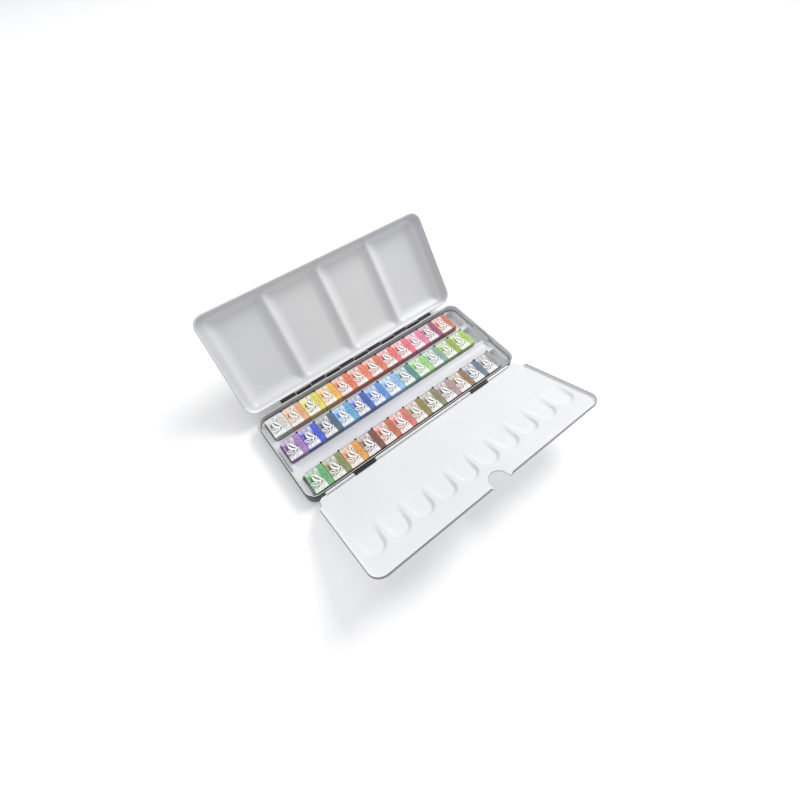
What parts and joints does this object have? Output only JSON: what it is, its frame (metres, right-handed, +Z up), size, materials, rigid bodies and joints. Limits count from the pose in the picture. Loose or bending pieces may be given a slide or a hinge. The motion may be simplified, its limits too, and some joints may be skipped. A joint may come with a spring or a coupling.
{
  "type": "watercolor pan set",
  "caption": "Shallow enamelled tin of wrapped watercolour half pans with a hinged lid palette, a fold-out palette and a lift-out pan holder.",
  "frame": {"origin": "centre of the tin's underside", "axes": "+X along the tin to the right, +Y towards the back hinge and the lid, +Z up"},
  "size_m": [0.218, 0.2304, 0.0819],
  "materials": {
    "black_enamel_tin": "white enamel inside, black enamel outside, gloss",
    "lid_enamel": "white enamel inside, black enamel outside, gloss",
    "flap_enamel": "white enamel, gloss",
    "holder_enamel": "white enamel, gloss",
    "pin_steel": "drawn wire",
    "clip_steel": "blued spring steel",
    "sleeve_neutral_tint": "printed paper, satin",
    "sleeve_peach": "printed paper, satin",
    "sleeve_lemon_yellow": "printed paper, satin",
    "sleeve_deep_yellow": "printed paper, satin",
    "sleeve_coral": "printed paper, satin",
    "sleeve_vermilion": "printed paper, satin",
    "sleeve_cadmium_red": "printed paper, satin",
    "sleeve_scarlet": "printed paper, satin",
    "sleeve_carmine": "printed paper, satin",
    "sleeve_rose_pink": "printed paper, satin",
    "sleeve_magenta": "printed paper, satin",
    "sleeve_terracotta": "printed paper, satin",
    "sleeve_violet": "printed paper, satin",
    "sleeve_blue_violet": "printed paper, satin",
    "sleeve_indigo": "printed paper, satin",
    "sleeve_sky_blue": "printed paper, satin",
    "sleeve_ultramarine": "printed paper, satin",
    "sleeve_cobalt_blue": "printed paper, satin",
    "sleeve_light_blue": "printed paper, satin",
    "sleeve_turquoise": "printed paper, satin",
    "sleeve_bright_green": "printed paper, satin",
    "sleeve_celadon": "printed paper, satin",
    "sleeve_moss_green": "printed paper, satin",
    "sleeve_yellow_green": "printed paper, satin",
    "sleeve_leaf_green": "printed paper, satin",
    "sleeve_dark_olive": "printed paper, satin",
    "sleeve_ochre": "printed paper, satin",
    "sleeve_red_brown": "printed paper, satin",
    "sleeve_burnt_sienna": "printed paper, satin",
    "sleeve_coral_red": "printed paper, satin",
    "sleeve_olive_ochre": "printed paper, satin",
    "sleeve_grey_umber": "printed paper, satin",
    "sleeve_mauve_brown": "printed paper, satin",
    "sleeve_chestnut": "printed paper, satin",
    "sleeve_dark_blue": "printed paper, satin",
    "sleeve_ivory_black": "printed paper, satin"
  },
  "bodies": {
    "tray": {"base_tray": "black_enamel_tin", "back_hinge_pin": "pin_steel", "front_hinge_pin": "pin_steel"},
    "lid": {"lid_palette": "lid_enamel"},
    "flap": {"flap_palette": "flap_enamel"},
    "holder": {"pan_holder": "holder_enamel", "clip_strip_back": "clip_steel", "clip_strip_middle": "clip_steel", "clip_strip_front": "clip_steel"},
    "pan_neutral_tint": {"pan_neutral_tint": "sleeve_neutral_tint"},
    "pan_peach": {"pan_peach": "sleeve_peach"},
    "pan_lemon_yellow": {"pan_lemon_yellow": "sleeve_lemon_yellow"},
    "pan_deep_yellow": {"pan_deep_yellow": "sleeve_deep_yellow"},
    "pan_coral": {"pan_coral": "sleeve_coral"},
    "pan_vermilion": {"pan_vermilion": "sleeve_vermilion"},
    "pan_cadmium_red": {"pan_cadmium_red": "sleeve_cadmium_red"},
    "pan_scarlet": {"pan_scarlet": "sleeve_scarlet"},
    "pan_carmine": {"pan_carmine": "sleeve_carmine"},
    "pan_rose_pink": {"pan_rose_pink": "sleeve_rose_pink"},
    "pan_magenta": {"pan_magenta": "sleeve_magenta"},
    "pan_terracotta": {"pan_terracotta": "sleeve_terracotta"},
    "pan_violet": {"pan_violet": "sleeve_violet"},
    "pan_blue_violet": {"pan_blue_violet": "sleeve_blue_violet"},
    "pan_indigo": {"pan_indigo": "sleeve_indigo"},
    "pan_sky_blue": {"pan_sky_blue": "sleeve_sky_blue"},
    "pan_ultramarine": {"pan_ultramarine": "sleeve_ultramarine"},
    "pan_cobalt_blue": {"pan_cobalt_blue": "sleeve_cobalt_blue"},
    "pan_light_blue": {"pan_light_blue": "sleeve_light_blue"},
    "pan_turquoise": {"pan_turquoise": "sleeve_turquoise"},
    "pan_bright_green": {"pan_bright_green": "sleeve_bright_green"},
    "pan_celadon": {"pan_celadon": "sleeve_celadon"},
    "pan_moss_green": {"pan_moss_green": "sleeve_moss_green"},
    "pan_yellow_green": {"pan_yellow_green": "sleeve_yellow_green"},
    "pan_leaf_green": {"pan_leaf_green": "sleeve_leaf_green"},
    "pan_dark_olive": {"pan_dark_olive": "sleeve_dark_olive"},
    "pan_ochre": {"pan_ochre": "sleeve_ochre"},
    "pan_red_brown": {"pan_red_brown": "sleeve_red_brown"},
    "pan_burnt_sienna": {"pan_burnt_sienna": "sleeve_burnt_sienna"},
    "pan_coral_red": {"pan_coral_red": "sleeve_coral_red"},
    "pan_olive_ochre": {"pan_olive_ochre": "sleeve_olive_ochre"},
    "pan_grey_umber": {"pan_grey_umber": "sleeve_grey_umber"},
    "pan_mauve_brown": {"pan_mauve_brown": "sleeve_mauve_brown"},
    "pan_chestnut": {"pan_chestnut": "sleeve_chestnut"},
    "pan_dark_blue": {"pan_dark_blue": "sleeve_dark_blue"},
    "pan_ivory_black": {"pan_ivory_black": "sleeve_ivory_black"}
  },
  "joints": [
    {"name": "lid_hinge", "type": "hinge", "parent": "tray", "child": "lid", "pos_m": [0, 0.0447, 0.0131], "axis": [-1, 0, 0], "range_deg": [-129.5, 0]},
    {"name": "flap_hinge", "type": "hinge", "parent": "tray", "child": "flap", "pos_m": [0, -0.0447, 0.0113], "axis": [1, 0, 0], "range_deg": [-157.9, 0]},
    {"name": "holder_lift", "type": "slide", "parent": "tray", "child": "holder", "axis": [0, 0, 1], "range_m": [0, 0.03]},
    {"name": "pan_neutral_tint_lift", "type": "slide", "parent": "holder", "child": "pan_neutral_tint", "axis": [0, 0, 1], "range_m": [0, 0.02]},
    {"name": "pan_peach_lift", "type": "slide", "parent": "holder", "child": "pan_peach", "axis": [0, 0, 1], "range_m": [0, 0.02]},
    {"name": "pan_lemon_yellow_lift", "type": "slide", "parent": "holder", "child": "pan_lemon_yellow", "axis": [0, 0, 1], "range_m": [0, 0.02]},
    {"name": "pan_deep_yellow_lift", "type": "slide", "parent": "holder", "child": "pan_deep_yellow", "axis": [0, 0, 1], "range_m": [0, 0.02]},
    {"name": "pan_coral_lift", "type": "slide", "parent": "holder", "child": "pan_coral", "axis": [0, 0, 1], "range_m": [0, 0.02]},
    {"name": "pan_vermilion_lift", "type": "slide", "parent": "holder", "child": "pan_vermilion", "axis": [0, 0, 1], "range_m": [0, 0.02]},
    {"name": "pan_cadmium_red_lift", "type": "slide", "parent": "holder", "child": "pan_cadmium_red", "axis": [0, 0, 1], "range_m": [0, 0.02]},
    {"name": "pan_scarlet_lift", "type": "slide", "parent": "holder", "child": "pan_scarlet", "axis": [0, 0, 1], "range_m": [0, 0.02]},
    {"name": "pan_carmine_lift", "type": "slide", "parent": "holder", "child": "pan_carmine", "axis": [0, 0, 1], "range_m": [0, 0.02]},
    {"name": "pan_rose_pink_lift", "type": "slide", "parent": "holder", "child": "pan_rose_pink", "axis": [0, 0, 1], "range_m": [0, 0.02]},
    {"name": "pan_magenta_lift", "type": "slide", "parent": "holder", "child": "pan_magenta", "axis": [0, 0, 1], "range_m": [0, 0.02]},
    {"name": "pan_terracotta_lift", "type": "slide", "parent": "holder", "child": "pan_terracotta", "axis": [0, 0, 1], "range_m": [0, 0.02]},
    {"name": "pan_violet_lift", "type": "slide", "parent": "holder", "child": "pan_violet", "axis": [0, 0, 1], "range_m": [0, 0.02]},
    {"name": "pan_blue_violet_lift", "type": "slide", "parent": "holder", "child": "pan_blue_violet", "axis": [0, 0, 1], "range_m": [0, 0.02]},
    {"name": "pan_indigo_lift", "type": "slide", "parent": "holder", "child": "pan_indigo", "axis": [0, 0, 1], "range_m": [0, 0.02]},
    {"name": "pan_sky_blue_lift", "type": "slide", "parent": "holder", "child": "pan_sky_blue", "axis": [0, 0, 1], "range_m": [0, 0.02]},
    {"name": "pan_ultramarine_lift", "type": "slide", "parent": "holder", "child": "pan_ultramarine", "axis": [0, 0, 1], "range_m": [0, 0.02]},
    {"name": "pan_cobalt_blue_lift", "type": "slide", "parent": "holder", "child": "pan_cobalt_blue", "axis": [0, 0, 1], "range_m": [0, 0.02]},
    {"name": "pan_light_blue_lift", "type": "slide", "parent": "holder", "child": "pan_light_blue", "axis": [0, 0, 1], "range_m": [0, 0.02]},
    {"name": "pan_turquoise_lift", "type": "slide", "parent": "holder", "child": "pan_turquoise", "axis": [0, 0, 1], "range_m": [0, 0.02]},
    {"name": "pan_bright_green_lift", "type": "slide", "parent": "holder", "child": "pan_bright_green", "axis": [0, 0, 1], "range_m": [0, 0.02]},
    {"name": "pan_celadon_lift", "type": "slide", "parent": "holder", "child": "pan_celadon", "axis": [0, 0, 1], "range_m": [0, 0.02]},
    {"name": "pan_moss_green_lift", "type": "slide", "parent": "holder", "child": "pan_moss_green", "axis": [0, 0, 1], "range_m": [0, 0.02]},
    {"name": "pan_yellow_green_lift", "type": "slide", "parent": "holder", "child": "pan_yellow_green", "axis": [0, 0, 1], "range_m": [0, 0.02]},
    {"name": "pan_leaf_green_lift", "type": "slide", "parent": "holder", "child": "pan_leaf_green", "axis": [0, 0, 1], "range_m": [0, 0.02]},
    {"name": "pan_dark_olive_lift", "type": "slide", "parent": "holder", "child": "pan_dark_olive", "axis": [0, 0, 1], "range_m": [0, 0.02]},
    {"name": "pan_ochre_lift", "type": "slide", "parent": "holder", "child": "pan_ochre", "axis": [0, 0, 1], "range_m": [0, 0.02]},
    {"name": "pan_red_brown_lift", "type": "slide", "parent": "holder", "child": "pan_red_brown", "axis": [0, 0, 1], "range_m": [0, 0.02]},
    {"name": "pan_burnt_sienna_lift", "type": "slide", "parent": "holder", "child": "pan_burnt_sienna", "axis": [0, 0, 1], "range_m": [0, 0.02]},
    {"name": "pan_coral_red_lift", "type": "slide", "parent": "holder", "child": "pan_coral_red", "axis": [0, 0, 1], "range_m": [0, 0.02]},
    {"name": "pan_olive_ochre_lift", "type": "slide", "parent": "holder", "child": "pan_olive_ochre", "axis": [0, 0, 1], "range_m": [0, 0.02]},
    {"name": "pan_grey_umber_lift", "type": "slide", "parent": "holder", "child": "pan_grey_umber", "axis": [0, 0, 1], "range_m": [0, 0.02]},
    {"name": "pan_mauve_brown_lift", "type": "slide", "parent": "holder", "child": "pan_mauve_brown", "axis": [0, 0, 1], "range_m": [0, 0.02]},
    {"name": "pan_chestnut_lift", "type": "slide", "parent": "holder", "child": "pan_chestnut", "axis": [0, 0, 1], "range_m": [0, 0.02]},
    {"name": "pan_dark_blue_lift", "type": "slide", "parent": "holder", "child": "pan_dark_blue", "axis": [0, 0, 1], "range_m": [0, 0.02]},
    {"name": "pan_ivory_black_lift", "type": "slide", "parent": "holder", "child": "pan_ivory_black", "axis": [0, 0, 1], "range_m": [0, 0.02]}
  ]
}
